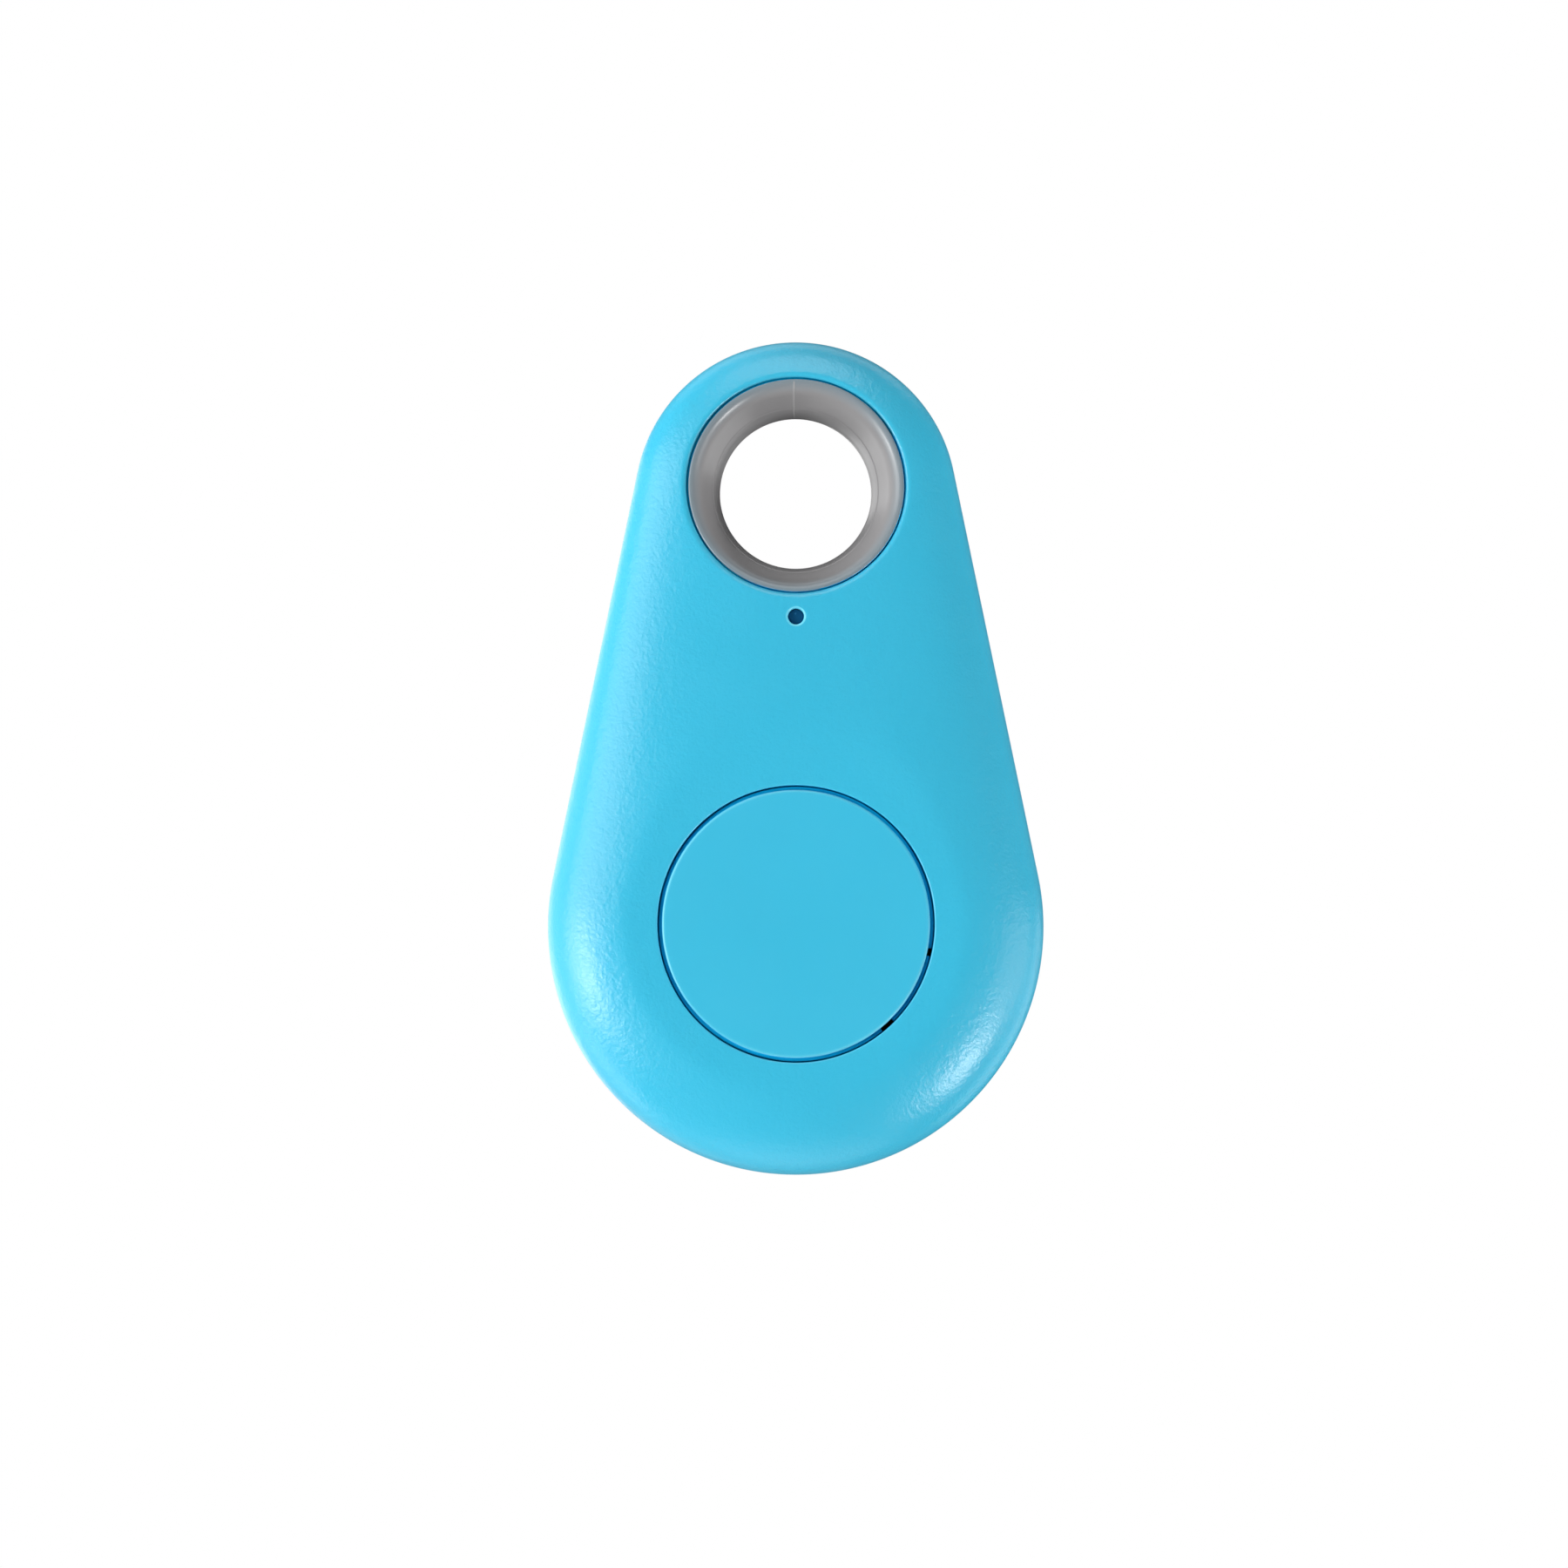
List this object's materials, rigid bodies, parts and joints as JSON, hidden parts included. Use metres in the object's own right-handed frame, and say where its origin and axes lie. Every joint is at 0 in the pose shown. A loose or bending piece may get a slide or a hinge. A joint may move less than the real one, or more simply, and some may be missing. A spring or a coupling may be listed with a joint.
{
  "type": "bluetooth tracker tag",
  "caption": "Flat teardrop key-finder tag with a lined key hole, a small indicator hole and a large round push button set flush in its face.",
  "frame": {"origin": "centre of the key hole, on the parting plane of the two shells", "axes": "+Z along the tag towards the key-hole end, -Y out of the button face, +X to the right seen from the button side"},
  "size_m": [0.0308, 0.011, 0.052],
  "materials": {
    "shell_blue": "fine spark-eroded matte moulding",
    "liner_grey": "smoky translucent, semi-gloss",
    "board_green": "solder mask, satin",
    "gold_plate": "gold-plated, satin",
    "copper": "bare copper, satin",
    "solder": "solder, bright",
    "steel": "stamped steel, satin",
    "nickel": "nickel-plated steel, circular brushed",
    "black_resin": "moulded resin, fine matte",
    "ceramic": "fired ceramic, matte",
    "white_resin": "moulded resin, satin",
    "window_blue": "tinted clear resin, gloss",
    "lens": "cast clear resin, gloss",
    "gasket": "moulded seal, satin",
    "electrode": "pressed powder, matte",
    "anode_metal": "soft metal foil, matte",
    "magnet": "sintered, matte"
  },
  "bodies": {
    "tag_body": {"front_shell": "shell_blue", "hole_liner": "liner_grey", "pcb": "board_green", "antenna_trace": "gold_plate", "test_pads": "gold_plate", "solder_joints": "solder", "ble_chip": "black_resin", "ble_chip_pads": "gold_plate", "crystal_base": "ceramic", "crystal_lid": "steel", "capacitors": "ceramic", "resistors": "black_resin", "chip_terminations": "solder", "led_base": "white_resin", "led_lens": "lens", "light_pipe": "window_blue", "tact_switch_base": "black_resin", "tact_switch_cover": "steel", "tact_switch_dome": "steel", "tact_switch_terminals": "solder", "battery_can": "nickel", "battery_cap": "nickel", "battery_gasket": "gasket", "battery_anode": "anode_metal", "battery_cathode": "electrode", "battery_clip": "steel", "battery_negative_contact": "gold_plate", "buzzer_case": "black_resin", "buzzer_lid": "black_resin", "buzzer_diaphragm": "steel", "buzzer_magnet": "magnet", "buzzer_coil": "copper", "buzzer_pole": "steel", "buzzer_terminals": "solder"},
    "button": {"button_cap": "shell_blue"},
    "switch_plunger": {"tact_switch_plunger": "white_resin"},
    "rear_cover": {"rear_shell": "shell_blue"}
  },
  "joints": [
    {"name": "button_press", "type": "slide", "parent": "tag_body", "child": "button", "axis": [0, 1, 0], "range_m": [0, 0.0003], "stiffness_N_per_m": 4000},
    {"name": "plunger_press", "type": "slide", "parent": "tag_body", "child": "switch_plunger", "axis": [0, 1, 0], "range_m": [0, 0.0003], "deforming": ["tact_switch_dome"]},
    {"name": "cover_off", "type": "slide", "parent": "tag_body", "child": "rear_cover", "axis": [0, 1, 0], "range_m": [0, 0.03]}
  ],
  "couplings": [
    {"joint": "plunger_press", "follows": "button_press", "ratio": 1}
  ]
}
